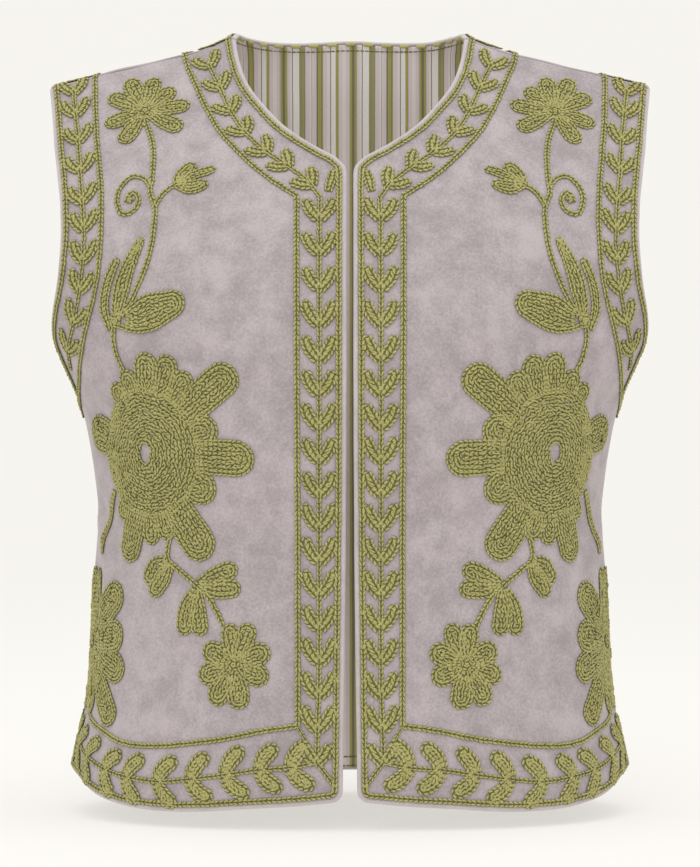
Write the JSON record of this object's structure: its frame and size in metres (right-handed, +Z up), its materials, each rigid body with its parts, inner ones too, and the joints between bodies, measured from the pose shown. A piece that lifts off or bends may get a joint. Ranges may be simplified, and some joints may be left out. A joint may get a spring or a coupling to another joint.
{
  "type": "embroidered waistcoat",
  "caption": "Short open-fronted sleeveless waistcoat in napped cloth with bold floral chain-stitch embroidery, bordered edges and a striped lining, shaped as worn with no wearer.",
  "frame": {"origin": "middle of the wearer's neck, level with the shoulders at the neck, mid-depth of the garment", "axes": "+Z up along the wearer's height, the open front faces -Y, +X is the wearer's left"},
  "size_m": [0.4004, 0.2358, 0.5101],
  "materials": {
    "velvet": "matt napped cotton velvet, greyed lilac",
    "lining": "plain woven cotton with olive and grey vertical stripes",
    "thread": "thick olive chain-stitch embroidery yarn"
  },
  "bodies": {
    "root": {"shell_front_right": "velvet", "shell_front_left": "velvet", "shell_back": "velvet", "lining_front_right": "lining", "lining_front_left": "lining", "lining_back": "lining"}
  },
  "joints": []
}
